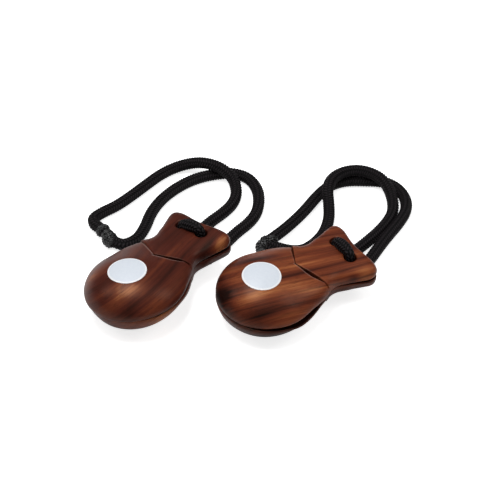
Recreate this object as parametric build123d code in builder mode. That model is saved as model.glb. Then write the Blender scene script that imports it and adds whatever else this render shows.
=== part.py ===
from build123d import *
import math
import os

# Two pairs of hand castanets lying on a table, each pair laced with a braided cord.
# Millimetres, +Z up, table top at z = 0, origin under the middle of the wooden shells.
#
# A shell is drawn in its own frame: the mating plane is z = 0, the neck line is x = 0,
# +X runs to the tip of the bowl and the domed outside faces +Z.

# ---- planform of a shell ------------------------------------------------------------
bowl_radius = 26.1          # round front of the bowl
bowl_center_reach = 32.7    # neck line to the centre of that round
bowl_reach = bowl_center_reach + bowl_radius    # neck line to the tip of the bowl
flank_radius = 52.8         # long curve from the bowl towards the neck
neck_radius = 9.2           # hollow curve of the waist
neck_half_width = 15.0
ear_radius = 6.5            # rounded tip of each ear
ear_half_width = 20.1
ear_reach = 24.3            # neck line to the back of the ears
notch_reach = 21.2          # neck line to the bottom of the notch between the ears

# ---- heights and roundness of the outside -------------------------------------------
bowl_height = 15.6          # mating plane to the crown
crown_reach = 38.4          # neck line to the crown
crown_power = 2.2           # bluntness of the tip in side view
bowl_neck_height = 8.1      # height that the bowl's back falls to at the neck
ear_height = 8.0
block_lip_height = 10.9     # ear block at the point of the chevron
block_rise_start = -10.0    # behind this the top of the ear block is level
ear_back_rounding = 5.9     # length over which the ears round down at the back
bowl_fullness = 0.49        # shape of the sections, 0.55 is an ellipse and 1 a box
bowl_neck_fullness = 0.74
block_fullness = 0.84
fullness_from = 8.0         # the bowl's sections change between these two reaches
fullness_to = 28.0
outline_allowance = 0.4     # the dome is cut back by this to the planform

# ---- chevron between bowl and ear block -----------------------------------------------
chevron_reach = 16.0        # neck line to the chevron's point
chevron_angle = 25.0        # sweep of each arm back from the cross direction
block_overlap = 4.0         # the ear block is drawn this far past the point, then trimmed

# ---- inside of a shell ------------------------------------------------------------------
cavity_reach = 33.5         # neck line to the middle of the hollow
cavity_radius = 19.5        # hollow at the rim
cavity_depth = 9.0
rim_clearance = 0.1         # between the two rims of a closed pair
neck_contact = 7.0          # length of the seat at the neck where the shells touch
tip_contact = 4.0           # length of the seat at the tip where the shells strike

# ---- lacing holes -------------------------------------------------------------------------
hole_reach = 13.3           # neck line to the holes
hole_spacing = 13.2
hole_diameter = 6.6
hole_chamfer = 0.8

# ---- label ----------------------------------------------------------------------------------
label_diameter = 20.0
label_thickness = 0.2
label_reach = 36.8
label_seat = 0.02           # glue line under the label

# ---- cord -----------------------------------------------------------------------------------
cord_diameter = 5.6
laced_diameter = 5.0        # the same cord squeezed in the holes
bridge_clearance = 0.3      # between the ears and the cord laid across them
bridge_bend = 4.3
floor_bend = 4.9
exit_reach = 7.5            # from a hole to the end of the lacing, along the table
cord_gap = 0.05             # between two lengths of cord that meet end to end
knot_gap = 0.3              # between a knot and the cord that enters its end

# Outline of each knot: its length from the end that the cord enters, with the radii at
# the ends, at the crown of each wrap and in the waist between two wraps.
KNOTS = {
    "left": [(0.0, 2.7), (2.4, 3.55), (4.8, 3.0), (9.8, 3.75), (14.6, 2.0)],
    "right": [(0.0, 2.9), (7.2, 4.6), (14.4, 2.3)],
}

# ---- each pair as it lies --------------------------------------------------------------------
# neck: middle of the neck line seen from above. yaw: direction of the bowl's tip.
# roll: lean about the long axis. relief: hollowing of each rim between its two seats.
# bevel: angle at which each ear's inner face falls away from the neck line.
PAIRS = {
    "left": dict(neck=(-28.7, 13.1), yaw=231.86, roll=5.4, relief=0.5, bevel=3.4),
    "right": dict(neck=(46.2, 1.45), yaw=212.25, roll=-2.7, relief=1.3, bevel=2.6),
}

# ---- routes of the free cord ------------------------------------------------------------------
# Corners of each strand's route. The inner strand runs from the knot, or to it, and lies on
# top where two strands cross; each route starts or ends at the lacing, under an ear.
LEFT_INNER = [                        # from the far hole to the knot
    (-18.4, 42.3, 2.8), (-13.4, 51.2, 2.8), (-5.3, 58.9, 2.8), (0.5, 66.4, 2.8),
    (2.5, 75.5, 3.2), (0.4, 84.1, 6.2), (-6.0, 90.3, 8.7), (-14.4, 95.0, 8.7),
    (-22.6, 98.4, 5.4), (-31.6, 97.3, 2.8), (-39.3, 91.9, 2.8), (-47.0, 83.7, 2.8),
    (-55.0, 74.8, 2.8), (-63.3, 66.8, 2.8), (-70.9, 61.8, 2.8), (-75.3, 56.6, 3),
    (-74.6, 50.7, 3.8), (-71.8, 47.3, 3.8),
]
LEFT_OUTER = [                        # from the near hole to the knot
    (-4.3, 34.5, 2.8), (2.3, 44.2, 2.8), (8.2, 51.1, 2.8), (12.7, 58.9, 2.8),
    (14.6, 68.5, 2.8), (13.6, 78.7, 2.8), (8.5, 87.8, 2.8), (-0.5, 93.2, 2.8),
    (-11.7, 92.9, 2.8), (-22.4, 88.0, 2.8), (-31.6, 79.8, 2.8), (-39.3, 70.5, 2.8),
    (-44.5, 59.6, 2.8), (-46.4, 48.2, 2.8), (-49.8, 38.8, 2.8), (-55.6, 34.2, 2.9),
    (-60.3, 33.6, 3.5),
]
RIGHT_INNER = [                       # from the far hole to the knot
    (63.7, 27.7, 2.8), (69.9, 34.5, 2.8), (76.2, 42.5, 2.8), (81.8, 50.8, 2.8),
    (86.3, 60.7, 2.8), (87.2, 69.0, 5.4), (83.8, 78.1, 8.7), (78.1, 84.9, 8.7),
    (69.8, 88.4, 8.7), (60.9, 86.9, 8.7), (54.1, 80.6, 8.7), (51.5, 71.6, 8.7),
    (52.4, 62.5, 5.4), (51.9, 53.3, 2.8), (47.9, 41.9, 2.8), (40.3, 33.7, 2.8),
    (34.3, 30.9, 2.9), (28.5, 30.3, 3.6), (23.3, 31.0, 4.4),
]
RIGHT_OUTER = [                       # from the near hole to the knot
    (69.3, 16.5, 2.8), (74.0, 24.0, 2.8), (79.0, 32.7, 2.8), (84.6, 41.1, 2.8),
    (90.5, 51.2, 2.8), (94.8, 62.1, 2.8), (95.2, 71.8, 2.8), (90.9, 80.3, 2.8),
    (82.9, 85.5, 2.8), (72.7, 86.2, 2.8), (62.2, 86.5, 2.8), (53.0, 82.8, 2.8),
    (45.7, 73.6, 2.8), (38.4, 60.9, 2.8), (29.7, 48.1, 3.9), (22.1, 38.6, 4.65),
]
STRANDS = {
    "left": dict(inner=LEFT_INNER, outer=LEFT_OUTER, knot_strand=LEFT_INNER),
    "right": dict(inner=RIGHT_INNER, outer=RIGHT_OUTER, knot_strand=RIGHT_OUTER),
}


def polar(center, radius, degrees):
    a = math.radians(degrees)
    return (center[0] + radius * math.cos(a), center[1] + radius * math.sin(a))


def bearing(origin, target):
    return math.degrees(math.atan2(target[1] - origin[1], target[0] - origin[0]))


def distance(a, b):
    return math.hypot(b[0] - a[0], b[1] - a[1])


# ---- centres and tangent directions of the planform's arcs ------------------------------
bowl_center = (bowl_center_reach, 0.0)
neck_center = (0.0, neck_half_width + neck_radius)
ear_center = (ear_radius - ear_reach, ear_half_width - ear_radius)

flank_to_bowl = flank_radius - bowl_radius
flank_to_neck = flank_radius + neck_radius
bowl_to_neck = distance(bowl_center, neck_center)
flank_swing = math.degrees(
    math.acos(
        (flank_to_bowl**2 + bowl_to_neck**2 - flank_to_neck**2) / (2 * flank_to_bowl * bowl_to_neck)
    )
)
flank_center = polar(bowl_center, flank_to_bowl, bearing(bowl_center, neck_center) + flank_swing)
bowl_to_flank_angle = bearing(flank_center, bowl_center)
flank_to_neck_angle = bearing(flank_center, neck_center)

side_normal = bearing(ear_center, neck_center) + math.degrees(
    math.acos((neck_radius + ear_radius) / distance(ear_center, neck_center))
)
side_front = polar(neck_center, -neck_radius, side_normal)
side_back = polar(ear_center, ear_radius, side_normal)

notch_offset = notch_reach - ear_reach + ear_radius
notch_radius = (ear_center[1] ** 2 + notch_offset**2 - ear_radius**2) / (2 * (ear_radius - notch_offset))
notch_center = (-notch_reach - notch_radius, 0.0)
notch_angle = bearing(notch_center, ear_center)
rounding_start = ear_back_rounding - ear_reach - outline_allowance


def half_width(x):
    """Half the planform's width at x, from the tip of the bowl to the side of the ears."""
    flank_front = polar(flank_center, flank_radius, bowl_to_flank_angle)[0]
    flank_back = polar(flank_center, flank_radius, flank_to_neck_angle)[0]
    if x > flank_front:
        return math.sqrt(bowl_radius**2 - (x - bowl_center[0]) ** 2)
    if x > flank_back:
        return flank_center[1] + math.sqrt(flank_radius**2 - (x - flank_center[0]) ** 2)
    if x > side_front[0]:
        return neck_center[1] - math.sqrt(neck_radius**2 - (x - neck_center[0]) ** 2)
    slope = (side_back[1] - side_front[1]) / (side_back[0] - side_front[0])
    return side_front[1] + slope * (x - side_front[0])


def blend(low, high, share):
    share = min(max(share, 0.0), 1.0)
    return low + (high - low) * share * share * (3 - 2 * share)


def bowl_top(x):
    """Height of the bowl's crown line at x."""
    if x > crown_reach:
        share = (x - crown_reach) / (bowl_reach - crown_reach)
        return bowl_height * math.sqrt(1 - share**crown_power)
    fall = (1 - math.cos(math.pi * min((crown_reach - x) / crown_reach, 1.0))) / 2
    return bowl_height - (bowl_height - bowl_neck_height) * fall


def block_top(x):
    """Height of the ear block at x: level ears that rise towards the chevron."""
    if x < rounding_start:
        share = (rounding_start - x) / ear_back_rounding
        return ear_height * math.sqrt(1 - share**2)
    rise = (block_lip_height - ear_height) / (chevron_reach - block_rise_start) ** 2
    return ear_height + rise * max(x - block_rise_start, 0.0) ** 2


def dome_section(x, half, height, fullness):
    """Half section across the shell: two mirrored curves over a straight base."""
    with BuildSketch(Plane(origin=(x, 0, 0), x_dir=(0, 1, 0), z_dir=(1, 0, 0))) as section:
        with BuildLine():
            Bezier((half, 0), (half, height * fullness), (half * fullness, height), (0, height))
            Bezier((0, height), (-half * fullness, height), (-half, height * fullness), (-half, 0))
            Line((-half, 0), (half, 0))
        make_face()
    return section.sketch


def bowl_dome(skin=0.0):
    """The bowl's outside as a solid, thicker by skin, running back under the ear block."""
    stations = [0.068 * n for n in range(-1, 13)] + [0.876, 0.927, 0.964, 0.988]
    sections = []
    for station in stations:
        x = station * bowl_reach
        full = blend(bowl_neck_fullness, bowl_fullness, (x - fullness_from) / (fullness_to - fullness_from))
        half = half_width(x) + outline_allowance + skin
        sections.append(dome_section(x, half, bowl_top(x) + skin, full))
    with BuildPart() as dome:
        loft(sections=[*sections, Vertex(bowl_reach + outline_allowance + skin, 0, 0)])
    return dome.part


def ear_block():
    """The ear block's outside as a solid, running forward under the bowl."""
    sections = []
    for share in (0.98, 0.88, 0.7, 0.4, 0.0):
        x = rounding_start - share * ear_back_rounding
        sections.append(dome_section(x, half_width(x) + outline_allowance, block_top(x), block_fullness))
    spacing = (chevron_reach + block_overlap - rounding_start) / 8
    for n in range(1, 9):
        x = rounding_start + n * spacing
        sections.append(dome_section(x, half_width(x) + outline_allowance, block_top(x), block_fullness))
    with BuildPart() as block:
        loft(sections=sections)
    return block.part


def planform():
    """Outline of a shell seen from above, drawn by its near half and mirrored."""
    with BuildSketch() as outline:
        with BuildLine():
            CenterArc(bowl_center, bowl_radius, 0, bowl_to_flank_angle)
            CenterArc(
                flank_center, flank_radius, bowl_to_flank_angle,
                flank_to_neck_angle - bowl_to_flank_angle,
            )
            CenterArc(
                neck_center, neck_radius, flank_to_neck_angle + 180,
                side_normal - flank_to_neck_angle,
            )
            Line(side_front, side_back)
            CenterArc(ear_center, ear_radius, side_normal, notch_angle + 180 - side_normal)
            CenterArc(notch_center, notch_radius, notch_angle, -notch_angle)
            mirror(about=Plane.XZ)
        make_face()
    return outline.sketch


def chevron_front():
    """Everything in front of the chevron, seen from above."""
    arm = 2 * bowl_radius
    arm_back = chevron_reach - arm * math.tan(math.radians(chevron_angle))
    with BuildSketch() as front:
        with BuildLine():
            Polyline(
                (chevron_reach, 0), (arm_back, arm), (2 * bowl_reach, arm),
                (2 * bowl_reach, -arm), (arm_back, -arm), (chevron_reach, 0),
            )
        make_face()
    return front.sketch


def blank_part():
    """Solid shell with its domed outside: the bowl meets the ear block at the chevron."""
    outline, front = planform(), chevron_front()
    tall = 2 * bowl_height
    with BuildPart() as bowl:
        add(bowl_dome())
        with BuildSketch():
            add(outline)
            add(front, mode=Mode.INTERSECT)
        extrude(amount=tall, both=True, mode=Mode.INTERSECT)
    with BuildPart() as blank:
        add(ear_block())
        with BuildSketch():
            add(outline)
            add(front, mode=Mode.SUBTRACT)
        extrude(amount=tall, both=True, mode=Mode.INTERSECT)
        add(bowl.part)
    return blank.part


def shell_part(blank, relief, bevel):
    """One shell in its own frame, dome up, hollowed and drilled."""
    wide = 4 * bowl_radius
    with BuildPart() as shell:
        add(blank)

        # round hollow of the bowl
        sphere_radius = (cavity_radius**2 + cavity_depth**2) / (2 * cavity_depth)
        with Locations((cavity_reach, 0, cavity_depth - sphere_radius)):
            Sphere(sphere_radius, mode=Mode.SUBTRACT)

        # rim hollowed between its seats at the neck and at the tip
        chord = (bowl_reach - tip_contact - neck_contact) / 2
        arch_radius = (chord**2 + relief**2) / (2 * relief)
        with Locations(Location((neck_contact + chord, 0, relief - arch_radius), (90, 0, 0))):
            Cylinder(arch_radius, wide, mode=Mode.SUBTRACT)

        # inner faces of the ears, falling away behind the neck line
        ear_length = 2 * ear_reach
        drop = ear_length * math.tan(math.radians(bevel))
        with BuildSketch(Plane.XZ):
            with BuildLine():
                Polyline((0, 0), (-ear_length, 0), (-ear_length, drop), (0, 0))
            make_face()
        extrude(amount=wide, both=True, mode=Mode.SUBTRACT)

        # lacing holes, eased at the outer mouth
        for side in (-1, 1):
            with Locations((-hole_reach, side * hole_spacing / 2, 0)):
                Cylinder(hole_diameter / 2, 4 * ear_height, mode=Mode.SUBTRACT)
            with Locations((-hole_reach, side * hole_spacing / 2, ear_height)):
                Cone(
                    hole_diameter / 2 - hole_chamfer, hole_diameter / 2 + 3 * hole_chamfer,
                    4 * hole_chamfer, mode=Mode.SUBTRACT,
                )
    return shell.part


def label_part():
    """Round label that follows the crown of the bowl."""
    with BuildPart() as label:
        add(bowl_dome(label_seat + label_thickness))
        with Locations((label_reach, 0, bowl_height)):
            Cylinder(label_diameter / 2, bowl_height, mode=Mode.INTERSECT)
        add(bowl_dome(label_seat), mode=Mode.SUBTRACT)
    return label.part


def seat_plane(neck, yaw, roll, height):
    """Frame of a pair: its mating plane, with X along the bowl and Z up."""
    turn, lean = math.radians(yaw), math.radians(roll)
    z_dir = (math.sin(turn) * math.sin(lean), -math.cos(turn) * math.sin(lean), math.cos(lean))
    return Plane(origin=(*neck, height), x_dir=(math.cos(turn), math.sin(turn), 0), z_dir=z_dir)


def arc_radii(points):
    """Largest tangent arc at each corner of a route: 0.45 of the shorter run over tan(half turn)."""
    radii = []
    for a, b, c in zip(points, points[1:], points[2:]):
        before, after = Vector(b) - Vector(a), Vector(c) - Vector(b)
        half_turn = math.radians(before.get_angle(after)) / 2
        radii.append(0.45 * min(before.length, after.length) / math.tan(half_turn))
    return radii


def cord_part(name, points, radii, diameter):
    """Tube of straight runs and tangent arcs along a route; prints its radii and volume."""
    with BuildPart() as tube:
        with BuildLine():
            route = FilletPolyline(*points, radius=radii)
        with BuildSketch(Plane(origin=route @ 0, z_dir=route % 0)):
            Circle(diameter / 2)
        sweep()
    share = tube.part.volume / (math.pi * diameter**2 / 4 * route.length)
    print(f"{name}: length {route.length:.1f}, volume over section times length {share:.4f}")
    print("    radii", [round(r, 1) for r in radii])
    return tube.part


def knot_part(outline, end, before):
    """Round solid of a knot, in line with the cord that enters it at end, coming from before."""
    along = (Vector(end) - Vector(before)).normalized()
    along = Vector(along.X, along.Y, 0).normalized()
    start = Vector(end) + along * knot_gap
    plane = Plane(origin=start, x_dir=along, z_dir=Vector(0, 0, 1).cross(along))
    with BuildPart() as knot:
        with BuildSketch(plane):
            with BuildLine():
                Line((0, 0), outline[0])
                for a, b, c in zip(outline[::2], outline[1::2], outline[2::2]):
                    ThreePointArc(a, b, c)
                Polyline(outline[-1], (outline[-1][0], 0), (0, 0))
            make_face()
        revolve(axis=Axis(start, along))
    return knot.part


def seated(pair):
    """Frame of a pair as it lies, with the lower dome just on the table."""
    level = seat_plane(pair["neck"], pair["yaw"], pair["roll"], 0)
    sunk = (level.location * lower_blank).bounding_box().min.Z
    return seat_plane(pair["neck"], pair["yaw"], pair["roll"], -sunk)


def lacing_points(seat, inner_next, outer_next):
    """Route of a lacing: out from under the far hole, up, across the ears, down and out."""
    under, above, out = [], [], []
    for side, target in ((-1, inner_next), (1, outer_next)):
        hole = seat.from_local_coords(Vector(-hole_reach, side * hole_spacing / 2, 0))
        drop = (cord_diameter / 2 - hole.Z) / seat.z_dir.Z
        crossing = ear_height + rim_clearance + bridge_clearance + laced_diameter / 2
        under.append(hole + seat.z_dir * drop)
        above.append(hole + seat.z_dir * crossing)
        out.append(under[-1] + (Vector(target) - under[-1]).normalized() * exit_reach)
    return [out[0], under[0], above[0], above[1], under[1], out[1]]


def write(part, name):
    part.label = name
    export_step(part, f"parts/{name}.step")


os.makedirs("parts", exist_ok=True)

blank = blank_part()
lower_blank = mirror(blank, about=Plane.XY)
label = label_part()
for side, pair in PAIRS.items():
    seat = seated(pair)
    upper_seat = seat.offset(rim_clearance)
    shell = shell_part(blank, pair["relief"], pair["bevel"])
    lower = mirror(shell, about=Plane.XY)
    routes = STRANDS[side]

    with BuildPart() as lower_shell:
        with Locations(seat.location):
            add(lower)
    write(lower_shell.part, f"{side}_lower_shell")

    with BuildPart() as upper_shell:
        with Locations(upper_seat.location):
            add(shell)
    write(upper_shell.part, f"{side}_upper_shell")

    with BuildPart() as round_label:
        with Locations(upper_seat.location):
            add(label)
    write(round_label.part, f"{side}_label")

    # the cord: squeezed through the holes, then two free strands joined in a knot
    lacing = lacing_points(seat, routes["inner"][0], routes["outer"][0])
    bends = [floor_bend, bridge_bend, bridge_bend, floor_bend]
    write(cord_part(f"{side}_lacing", lacing, bends, laced_diameter), f"{side}_lacing")
    for strand, end, hole in (("inner", lacing[0], lacing[1]), ("outer", lacing[-1], lacing[-2])):
        start = end + (end - hole).normalized() * cord_gap
        points = [start, *routes[strand]]
        name = f"{side}_{strand}_strand"
        write(cord_part(name, points, arc_radii(points), cord_diameter), name)

    knot_strand = routes["knot_strand"]
    knot = knot_part(KNOTS[side], knot_strand[-1], knot_strand[-2])
    write(knot, f"{side}_knot")
    print(f"{side} pair: neck line {seat.origin}, across {seat.y_dir}, up {seat.z_dir}")
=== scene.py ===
"""Two laced pairs of wooden hand castanets with braided cords, on a pale floor.

Lengths are in millimetres in the tables and formulas, and become metres when a mesh is made.
"""
import math

import bpy
import numpy as np
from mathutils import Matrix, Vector
from mathutils.geometry import delaunay_2d_cdt


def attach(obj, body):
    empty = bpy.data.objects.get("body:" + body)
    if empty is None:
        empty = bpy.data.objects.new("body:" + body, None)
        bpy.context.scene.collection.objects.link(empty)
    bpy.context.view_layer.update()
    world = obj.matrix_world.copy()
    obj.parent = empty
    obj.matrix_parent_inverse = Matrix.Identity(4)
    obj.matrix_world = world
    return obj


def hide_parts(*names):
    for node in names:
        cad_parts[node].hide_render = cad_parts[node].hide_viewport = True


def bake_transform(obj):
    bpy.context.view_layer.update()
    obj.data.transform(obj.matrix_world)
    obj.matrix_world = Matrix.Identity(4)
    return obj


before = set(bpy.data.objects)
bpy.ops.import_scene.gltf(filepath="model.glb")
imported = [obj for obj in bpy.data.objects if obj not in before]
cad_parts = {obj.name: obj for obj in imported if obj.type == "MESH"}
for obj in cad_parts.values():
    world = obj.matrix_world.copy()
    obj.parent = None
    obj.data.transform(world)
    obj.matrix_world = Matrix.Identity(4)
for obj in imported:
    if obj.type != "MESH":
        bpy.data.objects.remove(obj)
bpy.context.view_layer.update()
MM = 0.001
CREASE = math.radians(42)            # edges sharper than this stay sharp in the shading

# ---- camera -------------------------------------------------------------------------
CAMERA_AT = (9.6, -734.7, 709.0)
CAMERA_TILT = 47.275                 # from straight down
CAMERA_LENS = 140.99                 # for a sensor 36 wide

# ---- planform of a shell, in its own frame: neck line at x = 0, +X to the bowl's tip ---
BOWL_RADIUS = 26.1
BOWL_REACH = 58.8
FLANK_RADIUS = 52.8
NECK_RADIUS = 9.2
NECK_HALF = 15.0
EAR_RADIUS = 6.5
EAR_HALF = 20.1
EAR_REACH = 24.3
NOTCH_REACH = 21.2

# ---- heights of the outside ------------------------------------------------------------
BOWL_HEIGHT = 15.6
CROWN_REACH = 38.4
CROWN_POWER = 2.2
BOWL_NECK_HEIGHT = 8.1
EAR_HEIGHT = 8.0
BLOCK_LIP = 10.9
BLOCK_RISE_START = -10.0
EAR_ROUNDING = 5.9
BOWL_FULLNESS = (0.74, 0.49)         # at the neck, at the bowl
BLOCK_FULLNESS = 0.84
FULLNESS_SPAN = (8.0, 28.0)
ALLOWANCE = 0.4
TIP_ALLOWANCE = 0.2
CHEVRON_REACH = 16.0

# ---- inside and holes ----------------------------------------------------------------------
CAVITY = (33.5, 19.5, 9.0)           # reach, radius, depth
NECK_CONTACT = 7.0
TIP_CONTACT = 4.0
HOLE_REACH = 13.3
HOLE_SPACING = 13.2
HOLE_RADIUS = 3.3
HOLE_EASE = 0.8
RIM_CLEARANCE = 0.1
RIM_ROUNDING = 0.6
GAPE_ALONG = (22.0, 13.0)            # where the lower rim falls away: reach and half length
GAPE_ACROSS = (5.0, 9.0)             # it starts this far off the axis and is whole this much later

# ---- label ----------------------------------------------------------------------------------
LABEL_REACH = 36.8
LABEL_RADIUS = 10.0
LABEL_THICKNESS = 0.2
LABEL_LIFT = 0.03                    # its face stands this much clear of that
LABEL_TUCK = 0.05                    # its edge runs this deep into the wood
LABEL_PALE = 9.3                     # its edge is paler from this radius
LABEL_TURN = 9.8                     # its face turns down from this radius

# ---- cord -----------------------------------------------------------------------------------
CORD_RADIUS = 2.8
LACED_RADIUS = 2.5
EXIT_REACH = 7.5

# ---- each pair: neck point, heading of the tip, lean, rim relief and ear bevel; the chevron as
# sawn by hand (its point, and the sweep of the arms at local -Y and +Y); for those two arms the
# kerf's width, the easing of the block's edge and the strength of a painted highlight along the
# bowl's edge; the share of the kerf's width at the point; and gape, which lowers the lower
# shell's rim on the near flank -------------
PAIRS = {
    "left": dict(neck=(-28.7, 13.1, 15.673), yaw=231.86, roll=5.4, relief=0.5, bevel=3.4,
                 chevron=(16.0, -0.6, 26.5, 23.8), kerf=(0.3, 1.65), ease=(1.0, 0.4), lip_highlight=(0.5, 0.5),
                 opening=0.8, gape=0.0),
    "right": dict(neck=(46.2, 1.45, 15.621), yaw=212.25, roll=-2.7, relief=0.9, bevel=2.6,
                  chevron=(14.9, -1.8, 27.3, 23.8), kerf=(1.0, 2.2), ease=(0.3, 0.5), lip_highlight=(0.1, 0.4),
                  opening=0.35, gape=2.4),
}

# ---- strands from the ears to the knots, as they lie on the floor --------------------------
STRANDS = {
    ("left", "inner"): [
        (-18.4, 42.3, 2.9), (-13.2, 50.6, 3.0), (-5.3, 58.8, 3.0), (0.3, 66.6, 3.0),
        (2.6, 75.6, 3.4), (0.7, 84.2, 6.3), (-6.0, 90.1, 9.0), (-14.4, 94.5, 9.0),
        (-22.7, 98.5, 5.5), (-31.7, 97.8, 3.0), (-39.4, 92.1, 3.0), (-46.9, 83.5, 3.0),
        (-54.7, 74.1, 3.0), (-62.8, 65.3, 3.0), (-70.2, 60.0, 3.0), (-75.2, 55.0, 3.1),
        (-74.4, 49.4, 3.6), (-70.8, 46.1, 3.8), (-67.0, 41.3, 3.9), (-65.2, 38.6, 3.9),
    ],
    ("left", "outer"): [
        (-4.1, 34.1, 2.9), (2.5, 43.8, 3.0), (8.6, 50.5, 3.0), (13.1, 58.5, 3.0),
        (14.7, 68.4, 3.0), (13.9, 79.0, 3.0), (9.1, 88.5, 3.0), (-0.5, 92.9, 3.0),
        (-11.4, 91.5, 3.0), (-22.2, 87.1, 3.0), (-31.5, 79.5, 3.0), (-39.0, 70.2, 3.0),
        (-44.2, 59.3, 3.0), (-46.5, 48.3, 3.0), (-50.2, 38.7, 3.0), (-56.4, 33.8, 3.1),
        (-60.7, 34.0, 3.3), (-64.9, 37.1, 3.8),
    ],
    ("right", "inner"): [
        (64.0, 27.5, 2.9), (70.4, 34.2, 3.0), (77.0, 41.9, 3.0), (82.9, 50.2, 3.0),
        (87.4, 59.6, 3.2), (87.4, 69.0, 5.6), (83.8, 78.1, 9.0), (78.1, 84.9, 9.0),
        (69.8, 88.4, 9.0), (60.9, 86.9, 9.0), (54.1, 80.6, 9.0), (51.6, 71.6, 9.0),
        (52.5, 62.5, 5.6), (52.3, 52.8, 3.0), (48.6, 40.6, 3.0), (41.2, 31.4, 3.0),
        (35.0, 28.6, 3.1), (28.4, 29.2, 3.5), (22.8, 31.1, 3.9), (19.0, 33.0, 4.4),
    ],
    ("right", "outer"): [
        (69.3, 16.5, 2.9), (74.0, 24.0, 3.0), (78.7, 32.9, 3.0), (83.8, 41.6, 3.0),
        (89.9, 51.2, 3.0), (94.8, 61.4, 3.0), (94.8, 72.0, 3.0), (90.3, 80.6, 3.0),
        (82.9, 85.5, 3.0), (72.7, 86.2, 3.0), (62.2, 86.3, 3.0), (53.2, 82.1, 3.0),
        (46.2, 73.0, 3.0), (38.9, 60.2, 3.0), (30.1, 47.4, 3.8), (22.8, 38.2, 4.8),
        (19.6, 34.6, 5.2),
    ],
}


def srgb(code):
    """Linear colour, with alpha, of an sRGB hex code."""
    channels = [int(code[i:i + 2], 16) / 255 for i in (1, 3, 5)]
    return (*[c / 12.92 if c <= 0.04045 else ((c + 0.055) / 1.055) ** 2.4 for c in channels], 1.0)


def add_node(tree, kind, inputs=None, **settings):
    """A node with its settings; inputs maps a socket's name or number to a value, to a socket, or
    to a node whose first output feeds it."""
    node = tree.nodes.new(kind)
    for name, value in settings.items():
        setattr(node, name, value)
    for key, value in (inputs or {}).items():
        if isinstance(value, bpy.types.Node):
            value = value.outputs[0]
        if isinstance(value, bpy.types.NodeSocket):
            tree.links.new(value, node.inputs[key])
        else:
            node.inputs[key].default_value = value
    return node


def new_piece(name, vertices, faces, material, edges=()):
    """Mesh object at the origin; vertices are in millimetres."""
    mesh = bpy.data.meshes.new(name)
    mesh.from_pydata((np.asarray(vertices) * MM).tolist(), list(edges), faces)
    mesh.update()
    piece = bpy.data.objects.new(name, mesh)
    bpy.context.collection.objects.link(piece)
    if material:
        mesh.materials.append(material)
    return piece


def store(mesh, title, values):
    """Give each point of the mesh a number that node trees and materials can read."""
    mesh.attributes.new(title, "FLOAT", "POINT").data.foreach_set("value", values)


def smooth(share):
    share = np.clip(share, 0.0, 1.0)
    return share * share * (3 - 2 * share)


# ======================================================================================
# Camera
# ======================================================================================
camera = bpy.data.objects.new("camera", bpy.data.cameras.new("camera"))
camera.data.sensor_width = 36.0
camera.data.lens = CAMERA_LENS
camera.location = Vector(CAMERA_AT) * MM
camera.rotation_euler = (math.radians(CAMERA_TILT), 0.0, 0.0)
bpy.context.collection.objects.link(camera)
bpy.context.scene.camera = camera
bpy.context.scene.view_settings.view_transform = "Standard"


# ======================================================================================
# Frame of each pair
# ======================================================================================
class Seat:
    """Where a pair lies: local X runs to the tip of the bowl, Z out of the upper dome."""

    def __init__(self, neck, yaw, roll, relief, bevel, chevron, kerf, ease, lip_highlight, opening, gape):
        turn, lean = math.radians(yaw), math.radians(roll)
        self.origin = np.array(neck)
        self.x = np.array((math.cos(turn), math.sin(turn), 0.0))
        self.z = np.array((math.sin(turn) * math.sin(lean), -math.cos(turn) * math.sin(lean),
                           math.cos(lean)))
        self.y = np.cross(self.z, self.x)
        self.relief = relief
        self.bevel = math.radians(bevel)
        self.chevron = (*chevron[:2], *[math.tan(math.radians(angle)) for angle in chevron[2:]])
        self.kerf, self.ease, self.lip_highlight, self.opening, self.gape = kerf, ease, lip_highlight, opening, gape

    def world(self, points):
        points = np.asarray(points, dtype=float)
        return self.origin + points[..., 0:1] * self.x + points[..., 1:2] * self.y + points[..., 2:3] * self.z


# ======================================================================================
# Form of a shell, in its own frame (millimetres)
# ======================================================================================
def polar(center, radius, degrees):
    a = math.radians(degrees)
    return (center[0] + radius * math.cos(a), center[1] + radius * math.sin(a))


def bearing(origin, target):
    return math.degrees(math.atan2(target[1] - origin[1], target[0] - origin[0]))


def distance(a, b):
    return math.hypot(b[0] - a[0], b[1] - a[1])


bowl_center = (BOWL_REACH - BOWL_RADIUS, 0.0)
neck_center = (0.0, NECK_HALF + NECK_RADIUS)
ear_center = (EAR_RADIUS - EAR_REACH, EAR_HALF - EAR_RADIUS)
flank_to_bowl = FLANK_RADIUS - BOWL_RADIUS
bowl_to_neck = distance(bowl_center, neck_center)
flank_swing = math.degrees(math.acos(
    (flank_to_bowl**2 + bowl_to_neck**2 - (FLANK_RADIUS + NECK_RADIUS) ** 2)
    / (2 * flank_to_bowl * bowl_to_neck)))
flank_center = polar(bowl_center, flank_to_bowl, bearing(bowl_center, neck_center) + flank_swing)
bowl_to_flank = bearing(flank_center, bowl_center)
flank_to_neck = bearing(flank_center, neck_center)
side_normal = bearing(ear_center, neck_center) + math.degrees(
    math.acos((NECK_RADIUS + EAR_RADIUS) / distance(ear_center, neck_center)))
side_front = polar(neck_center, -NECK_RADIUS, side_normal)
side_back = polar(ear_center, EAR_RADIUS, side_normal)
notch_offset = NOTCH_REACH - EAR_REACH + EAR_RADIUS
notch_radius = (ear_center[1] ** 2 + notch_offset**2 - EAR_RADIUS**2) / (2 * (EAR_RADIUS - notch_offset))
notch_center = (-NOTCH_REACH - notch_radius, 0.0)
notch_angle = bearing(notch_center, ear_center)
rounding_start = EAR_ROUNDING - EAR_REACH - ALLOWANCE


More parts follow.
